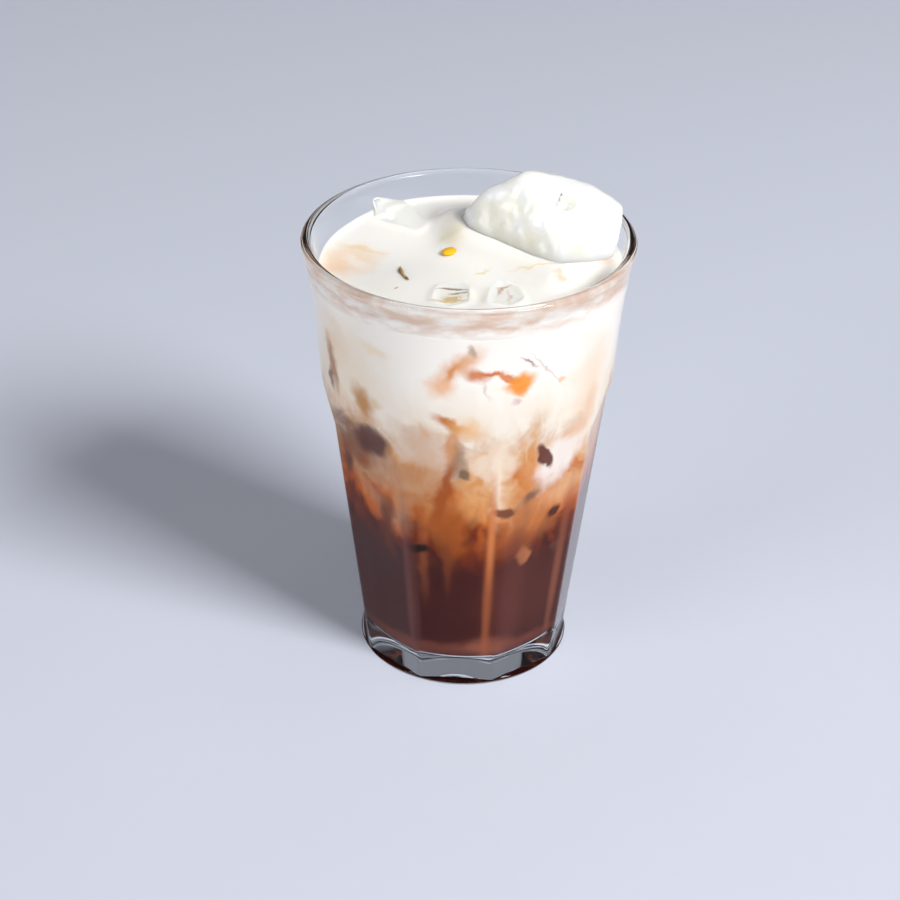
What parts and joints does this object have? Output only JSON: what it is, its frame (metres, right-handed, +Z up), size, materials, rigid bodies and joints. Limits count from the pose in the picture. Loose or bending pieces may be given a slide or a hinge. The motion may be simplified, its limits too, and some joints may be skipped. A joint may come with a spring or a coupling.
{
  "type": "iced chocolate in a tumbler",
  "caption": "Iced chocolate with milk in a tall faceted glass: dark chocolate below, marbled in the middle, milk on top, ice standing out of it.",
  "frame": {"origin": "centre of the tumbler's base, on the surface that it stands on", "axes": "+Z up through the tumbler's middle, -Y towards the viewer, +X to the viewer's right"},
  "size_m": [0.088, 0.088, 0.136],
  "materials": {
    "tumbler": "clear pressed glass, fire polished",
    "chocolate": "dark liquid chocolate",
    "marbled_milk": "milk running down into chocolate in strands",
    "milk": "cold milk, smooth",
    "creamy_ice": "wet ice coated with milk",
    "clear_ice": "clear wet ice"
  },
  "bodies": {
    "root": {"tumbler": "tumbler", "chocolate": "chocolate", "marbled_milk": "marbled_milk", "milk": "milk", "ice_block": "creamy_ice", "ice_shard": "clear_ice", "ice_left": "clear_ice", "ice_right": "clear_ice"}
  },
  "joints": []
}
